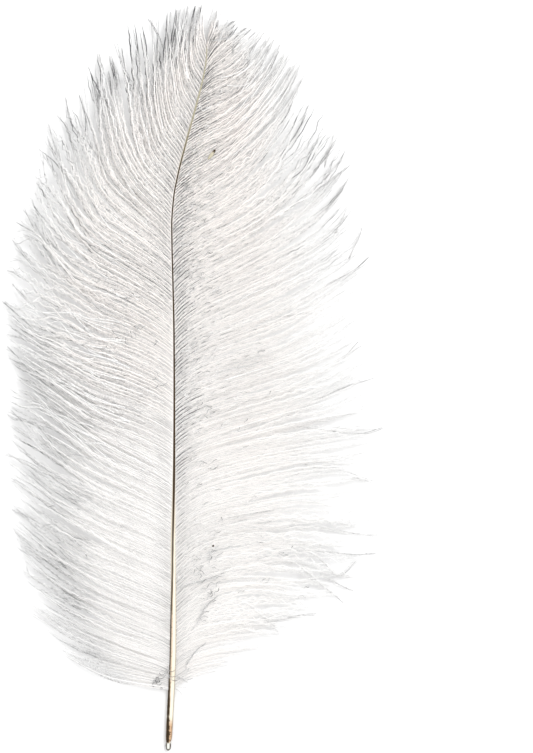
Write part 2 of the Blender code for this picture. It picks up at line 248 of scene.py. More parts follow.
def vane_point(guides, root_row, along):
    """Grid point of a vane: a cubic blend of the sixteen guide points around a root row and a share
    of the way from the shaft to the tip. A share over one runs straight on."""
    rows = guides[:, 0, 1]
    table = padded_ends(padded_ends(guides, 0), 1)
    low = np.clip(np.searchsorted(rows, root_row) - 1, 0, len(rows) - 2)
    across = np.clip((root_row - rows[low]) / (rows[low + 1] - rows[low]), -0.4, 1.4)
    steps = guides.shape[1] - 1
    place = along * steps
    step = np.clip(np.floor(place).astype(int), 0, steps - 1)
    by_row = cubic_weights(across)
    by_step = cubic_weights(place - step)
    point = np.zeros(root_row.shape + (2,))
    for a in range(4):
        for b in range(4):
            point += (by_row[a] * by_step[b])[..., None] * table[low + a, step + b]
    return point


def shaft_at(row):
    """Grid column of the shaft's centre at a grid row and its height in metres, straight between
    the shaft's points."""
    points = np.array(SHAFT[::-1])
    column, height = (np.interp(row, points[:, 1], points[:, k]) for k in (0, 3))
    return column, height / 1000


def smooth_step(value, low, high):
    """Zero below low, one above high and a smooth slope between."""
    share = np.clip((value - low) / (high - low), 0.0, 1.0)
    return share * share * (3 - 2 * share)


def patchy(table, row, place):
    """Random values of a table's row at a place counted in its columns, straight between them."""
    place = np.mod(place, table.shape[1] - 1)
    low = np.floor(place).astype(int)
    share = place - low
    return table[row, low] * (1 - share) + table[row, low + 1] * share


def unit(vectors):
    """The vectors at length one."""
    return vectors / np.linalg.norm(vectors, axis=1)[:, None]


class Strands:
    """A set of strands: each has a line through space, a length, a thickness and its tones. The
    stations along a strand lie at even shares raised to the power crowding."""
    crowding = 1.0

    def run(self, strand, share):
        """Unit direction of a strand's line: from a point a little before to one a little after."""
        step = 0.004
        after = self.point(strand, np.minimum(share + step, 1.0))
        return unit(after - self.point(strand, np.maximum(share - step, 0.0)))

    def measure(self, count):
        """Lengths of the strands, summed over short straight steps."""
        steps = 24
        strand = np.repeat(np.arange(count), steps + 1)
        share = np.tile(np.linspace(0, 1, steps + 1), count)
        points = self.point(strand, share).reshape(count, steps + 1, 3)
        return np.linalg.norm(np.diff(points, axis=1), axis=2).sum(1)


class Places:
    """Places along a vane's barbs: how far out each lies, the row from which its barb springs, and
    the random patterns and stretches of the vane that its tones follow."""

    def __init__(self, vane, barb, share):
        """Stretches are soft steps over the root's row or over the share of the barb. Patterns fade
        from one random number of the barb to the next: fine ones each millimetre, broad ones as far
        apart as the vane says. The tuft shade is painted shade that rises across each tuft towards
        its lower side, with a little more on the lower side of each bunch."""
        self.barb, self.share, self.root = barb, share, vane.root[barb]
        self.along = share * vane.end[barb]
        self.distance = share * vane.length[barb]
        fine_patch, broad_shift = 0.0010, 31
        self.fine = patchy(vane.patches, barb, self.distance / fine_patch)
        self.broad = patchy(vane.patches, barb, self.distance / vane.broad_patch + broad_shift)
        self.top = 1 - self.below(150, 400)
        self.foot = self.below(590, 650)
        self.low_in = self.below(400, 480) * (1 - self.out(0.35, 0.7))
        self.outer = self.out(0.30, 0.80)
        self.tip = smooth_step(share, 0.80 - 0.10 * self.top, 0.97)
        # Painted shade on the lower side of each tuft, and a little on the lower side of each bunch.
        self.tuft_shade = smooth_step(vane.in_tuft[barb] + 0.2 * vane.in_bunch[barb], -0.1, 0.9)

    def below(self, first, last):
        """Zero where the barb springs above the first grid row, one where it does below the last."""
        return smooth_step(self.root, first, last)

    def out(self, first, last):
        """Zero before the first share of the way out along the vane, one after the last."""
        return smooth_step(self.along, first, last)

    def beyond(self, first, last):
        """Zero nearer to the shaft than the first distance in metres, one beyond the last."""
        return smooth_step(self.distance, first, last)


class Vane(Strands):
    """The barbs of one vane, in order from the tip of the shaft to its foot. Neighbouring barbs make
    a bunch and neighbouring bunches a tuft. A value is an array with one number a barb, and what a
    bunch or a tuft shares is repeated for its barbs. Sideways shifts are counted in grid rows.

    The two sides differ in these numbers: root_crowd and foot_warp spread the roots, bunch_late
    puts off the gathering into bunches, crest_reach lengthens the upper barbs, wave_share sizes the
    bunches' waves, faint_tone is the darkest tone of a faint barb, hook_rows and hook_length give
    the steep start of the barbs beside the shaft, broad_patch is the pitch of the broad pattern,
    pale_share and barbule_share lighten the barbules of pale barbs and of all; on pale barbs this
    is a painted highlight."""
    crowding = 1.3

    def __init__(self, guides, sizes, seed):
        """Draws every value. The span is the straight way from a barb's root to its guide's end."""
        self.guides = np.array(guides, dtype=float)
        self.arch = sizes.arch
        self.chance = np.random.default_rng(seed)
        self.bunches, self.tufts = sizes.bunches, sizes.tufts
        self.count = BUNCH_SIZE * sizes.bunches
        self.place_roots()
        self.high, self.crest = 1 - self.below(130, 260), 1 - self.below(160, 330)
        self.set_side()
        self.draw_gathering()
        self.draw_ends()
        self.draw_waves()
        self.draw_looks(sizes.rib_width)
        ends = vane_point(self.guides, self.root, np.ones(self.count))
        starts = vane_point(self.guides, self.root, np.zeros(self.count))
        self.span = np.linalg.norm(ends - starts, axis=1) * GRID
        self.length = self.measure(self.count)

    def below(self, first, last):
        """Zero at barbs that spring above the first grid row, one at those below the last."""
        return smooth_step(self.root, first, last)

    def place_roots(self):
        """Grid rows from which the barbs spring: even shares of the shaft, moved towards the foot
        by a bump near it, raised to a power and jittered. A bunch's home is about its middle barb's
        row. Tufts' homes are spread in the same way, and a bunch belongs to the nearest one."""
        chance, count = self.chance, self.count
        first, last = self.guides[0, 0, 1], self.guides[-1, 0, 1]
        pitch, tuft_pitch = (last - first) / count, (last - first) / self.tufts
        place = np.linspace(0, 1, count)
        place = place + self.foot_warp * place ** 8 * (1 - place)
        even = first + (last - first) * place ** self.root_crowd
        self.root = even + chance.uniform(-0.3, 0.3, count) * pitch
        tuft_rows = first + (last - first) * np.linspace(0, 1, self.tufts) ** self.root_crowd
        tuft_rows = tuft_rows + chance.uniform(-0.3, 0.3, self.tufts) * tuft_pitch
        bunch_rows = even[1::BUNCH_SIZE]
        bunch_rows = bunch_rows + chance.uniform(-0.35, 0.35, self.bunches) * BUNCH_SIZE * pitch
        self.bunch = np.arange(count) // BUNCH_SIZE
        self.tuft = np.abs(bunch_rows[:, None] - tuft_rows).argmin(1)[self.bunch]
        self.bunch_home, self.tuft_home = bunch_rows[self.bunch], tuft_rows[self.tuft]
        self.in_bunch = np.arange(count) % BUNCH_SIZE - 1.0
        self.in_tuft = np.clip((self.root - self.tuft_home) / (0.5 * tuft_pitch), -1, 1)

    def draw_gathering(self):
        """How strongly its bunch and its tuft draw each barb to their rows, and the share of the
        way out from which the bunch does. Stray barbs hardly follow and run off to either side."""
        chance, count = self.chance, self.count
        self.stray = chance.random(count) < 0.16 * (1 - 0.6 * self.high)
        self.stray_shift = np.where(self.stray, chance.normal(0, 12, count), 0.0)
        pull = chance.uniform(self.least_pull, self.least_pull + 0.16, count)
        self.bunch_pull = np.where(self.stray, 0.2, pull) * self.bunch_share
        self.bunch_from = chance.uniform(0.30, 0.62, self.bunches)[self.bunch] + self.bunch_late
        pull = chance.uniform(0.10, 0.5, self.tufts)[self.tuft] + 0.50 * self.crest
        self.tuft_pull = np.where(self.stray, 0.0, pull * self.tuft_share)

    def draw_ends(self):
        """The share of the guides' length that each barb reaches. The outer barbs of a bunch and of
        a tuft end sooner, so that these come to a point, and some barbs are broken off short, more
        of them at the foot."""
        chance, count, crest, high = self.chance, self.count, self.crest, self.high
        reach = chance.uniform(-0.06, 0.03, self.tufts)[self.tuft] * self.reach_share
        reach = np.maximum(reach, -0.03 - 0.08 * (1 - crest))
        reach = reach + chance.uniform(-0.06, 0.02, self.bunches)[self.bunch]
        end = 1.0 + reach - 0.035 * self.in_bunch ** 2 - np.abs(chance.normal(0, 0.022, count))
        end = end + 0.05 + 0.03 * high + self.crest_reach * crest
        end = end - (0.05 + 0.09 * crest + 0.10 * high) * np.abs(self.in_tuft) ** 1.5
        end = np.minimum(end + self.room, 1.005 + self.room)
        end = end * (1 - 0.4 * self.below(610, 665) * chance.uniform(0.0, 1.0, count) ** 2.5)
        short = chance.random(count) < 0.13 + 0.22 * crest
        self.end = np.where(short, end * chance.uniform(0.62, 0.92, count), end)

    def draw_waves(self):
        """Sideways shifts of the barbs: a flick at the tip, waves that are each a size, a number of
        turns and a start, and a fine crimp. A bunch has a slow and a quicker wave, a tuft has one,
        and each barb has a small one of its own. The unrest is the share of all this that is left,
        which is less where the vane is orderly and at its foot."""
        chance, count, crest, around = self.chance, self.count, self.crest, 2 * math.pi
        flick = chance.normal(0, 3.5, self.tufts)[self.tuft] + chance.normal(0, 1.0, count)
        flick = flick + chance.normal(0, 3.0, self.bunches)[self.bunch] * (1 - 0.8 * crest)
        self.flick = flick * self.flick_share
        size = chance.normal(0, 1.0, (2, self.bunches))[:, self.bunch] * ((2.3,), (1.1,))
        size = size * (1 - 0.6 * crest) * self.wave_share
        turns = chance.uniform((0.7, 1.8), (1.5, 3.4), (self.bunches, 2)).T[:, self.bunch]
        start = chance.uniform(0, around, (2, self.bunches))[:, self.bunch]
        tuft_wave = (chance.normal(0, 2.0, self.tufts)[self.tuft] * self.tuft_wave_share,
                     chance.uniform(0.8, 1.7, self.tufts)[self.tuft],
                     chance.uniform(0, around, self.tufts)[self.tuft])
        own_wave = (0.3 + np.abs(chance.normal(0, 0.6, count)), chance.uniform(5, 21, count),
                    chance.uniform(0, around, count))
        self.waves = [*zip(size, turns, start), own_wave, tuft_wave]
        self.crimp_size = chance.uniform(0.1, 0.55, count)
        self.crimp_pitch = chance.uniform(0.0030, 0.0060, count)
        self.crimp_start = own_wave[2]
        self.unrest = self.unrest * (1 - 0.75 * self.below(635, 672)) * (1 - 0.35 * self.orderly)

    def draw_looks(self, rib_width):
        """Heights, tones and thicknesses. The barb on the lower side of a bunch is mostly a strong,
        dark one, whose dark tone is a painted shadow line. The barb on its upper side is mostly a pale
        one that stands over the others, kept light elsewhere as a painted highlight."""
        chance, count = self.chance, self.count
        # Strong barbs carry painted shadow lines; pale barbs carry painted highlights.
        self.strong = (self.in_bunch > 0) & (chance.random(count) < 0.92)
        self.pale = (self.in_bunch < 0) & (chance.random(count) < 0.85)
        self.lift = chance.normal(0, 0.0003, count) + np.where(self.stray, 0.0012, 0.0)
        self.lift = self.lift + np.where(self.pale, 0.0014, 0.0) * self.shown
        self.lift = self.lift + chance.normal(0, 0.0010, self.bunches)[self.bunch]
        self.tip_height = chance.uniform(0.0006, 0.0030, count)
        faint = chance.uniform(0.0, self.faint_tone, count)
        # A strong barb's tone is the darkness of its painted shadow line.
        self.tone = np.where(self.strong, chance.uniform(0.35, 1.0, count), faint)
        self.bunch_tone = chance.uniform(0, 1, self.bunches)[self.bunch]
        chance.uniform(0, 1, self.tufts)    # spare draws that keep the ones after them as they are
        self.patches = chance.uniform(0, 1, (count, 140))
        self.hollows = chance.uniform(0, 1, (self.tufts, 9))
        width = np.where(self.pale, 0.9 + 0.5 * self.shown, np.where(self.strong, 1.0, 0.6))
        self.thickness = rib_width * chance.uniform(0.75, 1.1, count) * width
        self.swell = np.where(self.strong, 0.9 * self.crest, 0.0)

    def point(self, barb, share):
        """Point of a barb's line at a share of its own length. In plan it slides from its own root
        row to its bunch's and partly to its tuft's row, is finely crimped, sways in waves that grow
        outwards and flicks aside at its tip. It leaves the shaft at a steep angle that dies away
        within a few millimetres. Its height falls from the shaft to the table over a low arch, and
        the middle of a bunch stands over its sides."""
        along, span, unrest = share * self.end[barb], self.span[barb], self.unrest[barb]
        gather = self.bunch_pull[barb] * smooth_step(along, self.bunch_from[barb], 1.0)
        sooner = 0.14 * self.crest[barb]
        lean = self.tuft_pull[barb] * smooth_step(along, 0.55 - sooner, 1.05 - sooner)
        row = self.root[barb] + (self.bunch_home[barb] - self.root[barb]) * gather
        row = row + (self.tuft_home[barb] - self.bunch_home[barb]) * lean
        turn = 2 * math.pi * along
        sway = sum(size[barb] * np.sin(turn * turns[barb] + start[barb])
                   for size, turns, start in self.waves)
        sway = sway * (1 - 0.8 * self.high[barb] * smooth_step(along, 0.6, 0.95))
        row = row + unrest * sway * smooth_step(along, 0.06, 0.6)
        place = along * span
        crimp = np.sin(2 * math.pi * place / self.crimp_pitch[barb] + self.crimp_start[barb])
        crimp = crimp * self.crimp_size[barb] * smooth_step(place, 0.001, 0.005) * (1 - 0.8 * along)
        row = row + unrest * crimp
        aside = (self.flick[barb] + self.stray_shift[barb]) * smooth_step(along, 0.45, 1.0) ** 1.5
        row = row + unrest * aside
        fade = np.exp(-along * span / self.hook_length)
        hook = np.minimum(self.hook_rows, 55.0 * span) * fade
        column = shaft_at(row + hook)[0] - shaft_at(row)[0]
        flat = vane_point(self.guides, row, along)
        flat = plan(flat + np.stack([column * fade, hook], axis=-1))
        start = shaft_at(self.root[barb] + hook)[1]
        slope = np.clip(along, 0, 1)
        height = start + (self.tip_height[barb] - start) * slope ** 1.35
        height = height + self.arch * span * np.sin(math.pi * slope ** 0.8)
        crest = 0.0006 * (0.5 - self.in_bunch[barb] ** 2) * smooth_step(along, 0.1, 0.5)
        height = height + (self.lift[barb] + crest) * np.sin(math.pi * slope)
        return np.column_stack([flat, np.maximum(height, FLOOR_CLEARANCE)])

    def tones(self, barb, share, outward, rib):
        """How grey, how warm and how mottled each place is, from zero to one."""
        at = Places(self, barb, share)
        self.side_tones(at)
        at.edge = at.edge * (1 - at.foot)
        grey, rough = (self.rib_grey(at), at.rough) if rib else self.barbule_tones(at, outward)
        # Pale barbs are mottled less, part of their painted highlight.
        rough = rough * np.where(self.pale[barb], 0.3, 1.0)
        return tuple(np.clip(tone, 0, 1) for tone in (grey, at.warm, rough))

    def rib_grey(self, at):
        """Grey of the ribs: dashes where the broad pattern is high or, where they are darker,
        strokes of painted shade on strong ribs beside the shaft, both halved at the foot. On strong
        ribs the dashes are painted shadow lines, and they come more often on the painted shaded side
        of each tuft. The painted shade of the hollows comes on top, and the tips where these are
        darker. An even root shade depends less on the patterns."""
        bunch_tone, pale, even = self.bunch_tone[at.barb], self.pale[at.barb], at.even
        # Painted shade strokes on strong ribs beside the shaft.
        stroke = at.stroke * at.beyond(0.0008, 0.0030)
        stroke = stroke * (1 - at.beyond(0.004 + 0.002 * even, 0.015 + 0.003 * even))
        stroke = stroke * (0.05 + 0.35 * even + (1.7 - 0.8 * even) * at.fine)
        stroke = stroke * (0.5 + 0.2 * even + (0.8 - 0.4 * even) * bunch_tone)
        # Dashes; on strong ribs these are painted shadow lines, more of them on each tuft's painted
        # shaded side.
        grey = self.tone[at.barb] * smooth_step(at.broad + 0.25 * at.tuft_shade, 0.42, 0.68) * at.dashes
        grey = np.maximum(grey, stroke * self.strong[at.barb]) * (1 - 0.5 * at.foot)
        # Painted shade in the hollows.
        grey = grey + 0.9 * at.deep * smooth_step(at.broad, 0.3, 0.8) * (1 - pale)
        point = at.tip * at.edge * (0.60 + 0.9 * bunch_tone)
        return np.maximum(grey, point * (1 - 0.7 * pale))

    def barbule_tones(self, at, outward):
        """Grey and mottling of the barbules: the side's own soft grey, and on top of it painted shade
        on the lower side of each tuft and each bunch, the fine pattern, painted shade at the feet of
        the barbules on strong barbs, the painted shade of the hollows and a little at the tips."""
        barb, bunch_tone = at.barb, self.bunch_tone[at.barb]
        grey, soft, rough = self.side_barbules(at)
        # Painted shade on the lower side of each tuft.
        grey = grey + 0.15 * at.tuft_shade * at.out(0.05, 0.3) * soft
        grey = grey + 0.20 * np.maximum(at.fine - 0.5, 0) * at.rough
        # Painted shade at the feet of the barbules along a strong rib.
        grey = grey + 0.16 * self.strong[barb] * (1 - np.abs(outward)) * soft
        # Painted shade on the lower side of each bunch.
        side = smooth_step(self.in_bunch[barb] + 0.3 * outward, 0.2, 1.2)
        grey = grey + 0.14 * side * at.broad * at.out(0.10, 0.35) * soft
        # Painted shade in the hollows.
        grey = grey + 0.22 * at.deep * (0.3 + 1.4 * bunch_tone)
        # Pale barbs keep less grey: a painted highlight.
        grey = grey * np.where(self.pale[barb], self.pale_share, 1.0) * self.barbule_share
        return grey + 0.15 * at.tip * at.edge * bunch_tone, rough


class LeftVane(Vane):
    """The left vane: drawn in firm bunches above, and orderly, smooth and greyer below."""
    root_crowd, foot_warp, bunch_late, crest_reach = 0.92, 0.35, 0.0, 0.04
    wave_share, faint_tone, hook_rows, hook_length = 1.0, 0.22, 6.0, 0.0075
    broad_patch, pale_share, barbule_share = 0.0017, 0.4, 0.8

    def set_side(self):
        """How orderly the vane is, which starts in its middle, and the shares that change down its
        length."""
        self.orderly = self.below(390, 480)
        self.least_pull = 0.60 + 0.22 * self.high
        self.bunch_share = 1 - 0.35 * self.orderly
        self.tuft_share = 1 - 0.6 * self.orderly
        self.reach_share = 1.8 - 0.9 * self.crest
        self.room = 0.06 * self.below(560, 640)
        self.flick_share = self.tuft_wave_share = self.unrest = 1.0
        self.shown = 1.0 - 0.75 * self.below(440, 560)
        self.downy = -0.6 * self.high

    def side_tones(self, at):
        """Streaks over the whole vane, weaker in the inner part of the lower vane and beside the
        shaft from the middle down, dark tips at the top, and soft hollows of painted shade, each a
        bell over the grid. Cream fades outwards and down the vane."""
        at.rough = 0.90 - 0.15 * at.top - 0.14 * at.below(290, 360) - 0.53 * at.low_in
        at.rough = at.rough * (1 - 0.6 * (1 - at.beyond(0.008, 0.030)) * at.below(280, 340))
        at.edge = 0.43 + 0.85 * at.top
        column, row = (self.point(at.barb, at.share)[:, :2] / (GRID, -GRID) + GRID_CENTRE).T
        # Painted shade in the hollows.
        at.deep = sum(depth * np.exp(-((column - x) / wide) ** 2 - ((row - y) / high) ** 2)
                      for x, y, wide, high, depth in HOLLOWS)
        # Weak painted shade strokes on the strong ribs beside the shaft.
        at.stroke, at.even, at.dashes = 0.20 + 0.3 * at.top, 0.0, at.rough
        at.warm = 0.85 * (1 - at.out(0.3, 0.9)) * (1 - 0.65 * at.below(360, 480))

    def side_barbules(self, at):
        """Grey in the outer half, with painted shade in patchy hollows that differ from tuft to tuft,
        and more grey lower on the vane.
        """
        # Painted shade in patchy hollows, one pattern for each tuft.
        hollow = smooth_step(patchy(self.hollows, self.tuft[at.barb], at.along * 7), 0.55, 0.9)
        low = at.below(250, 350)
        grey = at.outer * (0.02 + 0.08 * low + 0.14 * hollow * (0.4 + 0.6 * low))
        grey = grey + 0.26 * at.outer * at.below(430, 500) + 0.12 * at.below(560, 640)
        grey = grey + 0.20 * at.out(0.3, 0.7) * at.below(580, 650)
        return grey, at.rough, at.rough


class RightVane(Vane):
    """The right vane: loose and soft, in firm bunches only at the top, with barbules that grow long
    outwards in the middle and below."""
    root_crowd, foot_warp, bunch_late, crest_reach = 1.2, 0.0, 0.12, 0.07
    wave_share, faint_tone, hook_rows, hook_length = 0.75, 0.38, 8.5, 0.0060
    broad_patch, pale_share, barbule_share = 0.0021, 0.75, 0.9

    def set_side(self):
        """How orderly the vane is, most of all in its middle, and the shares that change down its
        length."""
        self.orderly = 1.3 * self.below(240, 340) * (1 - self.below(500, 570))
        self.least_pull = 0.08 + 0.68 * self.high + 0.30 * self.below(430, 520)
        self.bunch_share = 1.0
        self.tuft_share = 0.3 + 0.7 * self.crest
        self.reach_share = 1 + 0.8 * self.high
        self.room = 0.0
        self.flick_share = 0.7 + 0.3 * self.crest
        self.tuft_wave_share = 0.6 + 0.9 * self.crest
        self.unrest = 0.22 + 0.78 * self.below(60, 150)
        self.shown = 0.35 + 0.65 * self.crest
        self.downy = 1.3 - 1.0 * self.crest - 0.8 * self.high

    def side_tones(self, at):
        """Streaks mostly near the shaft and in a band of the outer vane above the middle, where the
        tips are dark too, no painted shade in hollows, and strong strokes of painted shade on the ribs
        beside the shaft, even ones at the top. The painted tuft shade stays mostly in the outer vane.
        Cream fades outwards and down the vane."""
        near = (1 - at.beyond(0.007, 0.026)) * (1 - 0.65 * at.below(420, 500))
        # Painted tuft shade, kept mostly to the outer vane.
        at.tuft_shade = at.tuft_shade * (0.2 + 0.8 * at.outer)
        at.rough = 0.33 + 0.50 * near + 0.20 * at.top * (1 - at.outer) - 0.24 * at.low_in
        band = 0.45 * at.outer * at.below(180, 240) * (1 - at.below(260, 400))
        at.rough = (at.rough + band) * (1 - 0.6 * at.foot)
        at.edge = 0.22 + 0.68 * at.below(185, 245) * (1 - at.below(260, 420))
        at.edge = at.edge + 0.30 * (1 - at.below(60, 100))
        at.deep, at.even = 0.0, 1 - at.below(230, 330)
        # Painted shade strokes on the strong ribs beside the shaft.
        at.stroke = 1.25 + 0.15 * at.top - 0.80 * at.below(420, 520) - 0.35 * at.foot
        middle = at.beyond(0.006, 0.014) * (1 - at.beyond(0.032, 0.070))
        middle = middle * (1 - 0.7 * at.below(400, 520))
        at.dashes = at.rough + (0.30 * near + 0.38 * middle)
        at.warm = (0.70 + 0.3 * at.top) * (1 - at.out(0.4, 0.9)) * (1 - 0.35 * at.below(400, 560))

    def side_barbules(self, at):
        """A soft grey outside the inner tenth, less at the top, and mottling that fades beside the
        shaft."""
        grey = 0.20 * at.out(0.1, 0.4) * (1 - 0.6 * at.top) * (1 - 0.35 * at.low_in)
        soft = at.rough * (0.35 + 0.65 * at.outer * (1 - at.below(260, 380)))
        return grey, soft, at.rough * (0.30 + 0.40 * at.beyond(0.003, 0.012) + 0.30 * at.outer)


class Loose(Strands):
    """Loose strands, each a smooth line through its own points in space."""

    def __init__(self, points, dark, thickness, seed):
        """All are strong and of one thickness, with no swelling and no longer barbules outwards."""
        self.chance = np.random.default_rng(seed)
        self.points = padded_ends(points, 1)
        count = len(points)
        self.strong = np.ones(count, dtype=bool)
        self.dark = dark
        self.thickness = np.full(count, thickness)
        self.swell = np.zeros(count)
        self.downy = np.zeros(count)
        self.patches = self.chance.uniform(0, 1, (count, 60))
        self.length = self.measure(count)

    def point(self, strand, share):
        """Point of a strand: a cubic blend of the four points around the share."""
        steps = self.points.shape[1] - 3
        place = share * steps
        step = np.clip(np.floor(place).astype(int), 0, steps - 1)
        weights = cubic_weights(place - step)
        point = sum(weights[k][:, None] * self.points[strand, step + k] for k in range(4))
        point[:, 2] = np.maximum(point[:, 2], FLOOR_CLEARANCE)
        return point

    def tones(self, strand, share, outward, rib):
        """Grey that deepens along the strand in patches, paler barbules, no warmth and an even
        mottling."""
        patch = 0.002
        grey = self.dark[strand] * (0.45 + 0.55 * smooth_step(share, 0.2, 0.9))
        grey = grey * (0.75 + 0.5 * patchy(self.patches, strand, share * self.length[strand] / patch))
        if not rib:
            grey = grey * 0.55
        return np.clip(grey, 0, 1), np.zeros(len(strand)), np.full(len(strand), 0.5)


# ------------------------------------------------------------------ meshes
def placed(name, data):
    """A new object in the scene, at the origin."""
    made = bpy.data.objects.new(name, data)
    bpy.context.scene.collection.objects.link(made)
    return made


def piece(name, slot, material, vertices, faces, places, attributes):
    """A mesh object from arrays: triangles, one map place a vertex and one number a vertex for each
    named attribute. It rides on the feather's body and stands for the feather's solid."""
    mesh = bpy.data.meshes.new(name)
    mesh.vertices.add(len(vertices))
    mesh.vertices.foreach_set("co", vertices.astype(np.float32).ravel())
    mesh.loops.add(faces.size)
    mesh.loops.foreach_set("vertex_index", faces.astype(np.int32).ravel())
    mesh.polygons.add(len(faces))
    mesh.polygons.foreach_set("loop_start", np.arange(0, faces.size, 3, dtype=np.int32))
    mesh.update(calc_edges=True)
    layer = mesh.uv_layers.new(name=MAP)
    layer.uv.foreach_set("vector", places[faces.ravel()].astype(np.float32).ravel())
    for label, values in attributes.items():
        numbers = mesh.attributes.new(label, 'FLOAT', 'POINT')
        numbers.data.foreach_set("value", values.astype(np.float32))
    mesh.materials.append(material)
    mesh.validate()
    made = placed(name, mesh)
    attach(made, "root")
    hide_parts(NODE)
    return made


def cross_axes(ahead):
    """Level and upright directions square to a line's direction."""
    side = unit(np.cross(ahead, (0.0, 0.0, 1.0)) + (1e-9, 0.0, 0.0))
    return side, np.cross(side, ahead)


def rings(centre, ahead, angle, radius, flatness=1.0):
    """Rings of points round a line, square to it: at each angle the line's own point, plus the
    radius times the angle's cosine to the side and times its sine and the flatness upwards."""
    side, up = cross_axes(ahead)
    ring = np.cos(angle)[None, :, None] * side[:, None, :]
    ring = ring + flatness * np.sin(angle)[None, :, None] * up[:, None, :]
    return centre[:, None, :] + ring * radius[:, :, None]


def rib_arrays(strands, chosen, stations):
    """Ribs: three-sided tubes along the strands' lines, thick at the root and thinning to a point;
    some swell a little before it."""
    sides = 3
    strand = np.repeat(chosen, stations)
    share = np.tile(np.linspace(0.0, 1.0, stations) ** strands.crowding, len(chosen))
    radius = 0.5 * strands.thickness[strand] * (0.65 + 0.35 * (1 - share))
    radius = radius * (1 + strands.swell[strand] * smooth_step(share, 0.6, 0.85))
    radius = radius * np.clip((1 - share) / 0.05, 0.25, 1.0)
    angle = 2 * math.pi * (np.arange(sides) + 0.25) / sides
    vertices = rings(strands.point(strand, share), strands.run(strand, share), angle, radius[:, None])
    first = (np.arange(len(chosen))[:, None] * stations + np.arange(stations - 1)).ravel() * sides
    faces = []
    for corner in range(sides):
        after = (corner + 1) % sides
        faces.append(np.column_stack([first + corner, first + after, first + sides + after]))
        faces.append(np.column_stack([first + corner, first + sides + after, first + sides + corner]))
    start = np.arange(len(chosen)) * stations * sides
    last = start + (stations - 1) * sides
    faces.append(np.column_stack([last, last + 1, last + 2]))
    faces.append(np.column_stack([start + 2, start + 1, start]))
    return (vertices.reshape(-1, 3), np.concatenate(faces), np.repeat(strand, sides),
            np.repeat(share, sides), np.tile([-1.0, 0.0, 1.0], len(strand)))


def barbule_arrays(strands, chosen, length, pitch):
    """Barbules: narrow blades on both sides of each strand by turns. The feet of neighbouring
    blades meet on the strand's line, so each strand's barbules are one sheet. A blade leans forward
    along the strand and up or down by random angles. It is longest over the middle, longer outwards
    on a downy strand, and short beside the shaft, at the tip and on a short strand."""
    chance = strands.chance
    count = np.maximum((strands.length[chosen] / pitch).astype(int), 8)
    strand = np.repeat(chosen, count)
    total = len(strand)
    first = np.concatenate([[0], np.cumsum(count)[:-1]])
    number = np.arange(total) - np.repeat(first, count)
    share = (number + 0.5) / np.repeat(count, count)
    ahead = strands.run(strand, share)
    side, up = cross_axes(ahead)
    hand = np.where(number % 2 == 0, 1.0, -1.0)
    lean = np.radians(chance.normal(33, 9, total))
    tilt = np.radians(chance.normal(-16, 22, total))
    size = length * (0.15 + 0.85 * np.sin(math.pi * share ** 0.8) ** 0.7)
    size = size * (1 + strands.downy[strand] * share ** 1.5) * (1 - 0.5 * share ** 5)
    size = size * chance.uniform(0.55, 1.1, total)
    size = size * np.clip(share * strands.length[strand] / 0.012, 0.12, 1.0)
    size = size * np.interp(strands.length[strand], [0.004, 0.02, 0.05], [0.15, 0.75, 1.0])
    out = side * (hand * np.cos(tilt))[:, None] + up * np.sin(tilt)[:, None]
    middle = strands.point(strand, share)
    tips = middle + (ahead * np.cos(lean)[:, None] + out * np.sin(lean)[:, None]) * size[:, None]
    tips[:, 2] = np.maximum(tips[:, 2], 0.5 * FLOOR_CLEARANCE)
    first_foot = np.concatenate([[0], np.cumsum(count + 1)[:-1]])
    feet_strand = np.repeat(chosen, count + 1)
    feet_number = np.arange(total + len(chosen)) - np.repeat(first_foot, count + 1)
    feet_share = feet_number / np.repeat(count, count + 1)
    feet = strands.point(feet_strand, feet_share)
    foot = np.repeat(first_foot, count) + number
    tip = len(feet) + np.arange(total)
    right_hand = np.column_stack([foot + 1, foot, tip])
    left_hand = np.column_stack([foot, foot + 1, tip])
    faces = np.where((hand > 0)[:, None], right_hand, left_hand)
    return (np.concatenate([feet, tips]), faces, np.concatenate([feet_strand, strand]),
            np.concatenate([feet_share, share]), np.concatenate([np.zeros(len(feet)), hand]))


def strands_piece(name, strands, chosen, stations, barbule_length, barbule_pitch):
    """One piece of neighbouring strands: their ribs and their barbules. On the map each strand has
    a lane that its barbules and a faint rib share, and a strong rib has a lane of its own above."""
    strong, faint = chosen[strands.strong[chosen]], chosen[~strands.strong[chosen]]
    sheets = []
    # Which strands, which ones have a lane, where the lanes start and how high they reach together,
    # and the share of its lane that a strand fills on either side.
    for group, lanes, low, high, width in (
            (strong, strong, 0.74, 0.24, 0.4), (faint, chosen, 0.01, 0.70, 0.12),
            (chosen, chosen, 0.01, 0.70, 0.45)):
        if len(group) == 0:
            continue
        rib = group is not chosen
        if rib:
            arrays = rib_arrays(strands, group, stations)
        else:
            arrays = barbule_arrays(strands, group, barbule_length, barbule_pitch)
        vertices, faces, owner, share, outward = arrays
        lane = np.zeros(chosen.max() + 1)
        lane[lanes] = (np.arange(len(lanes)) + 0.5) / len(lanes)
        across = low + high * (lane[owner] + width * outward / len(lanes))
        ahead = share if rib else share + 0.012 * np.abs(outward)
        sheets.append((vertices, faces, ahead, across, *strands.tones(owner, share, outward, rib)))
    offsets = np.cumsum([0] + [len(sheet[0]) for sheet in sheets])
    faces = np.concatenate([sheet[1] + offset for sheet, offset in zip(sheets, offsets)])
    vertices, ahead, across, grey, warm, rough = (
        np.concatenate([sheet[k] for sheet in sheets]) for k in (0, 2, 3, 4, 5, 6))
    places = np.column_stack([0.01 + 0.965 * ahead, across])
    return piece(name, "barbs", barb_material(), vertices, faces, places,
                 {"grey": grey, "warm": warm, "rough": rough})


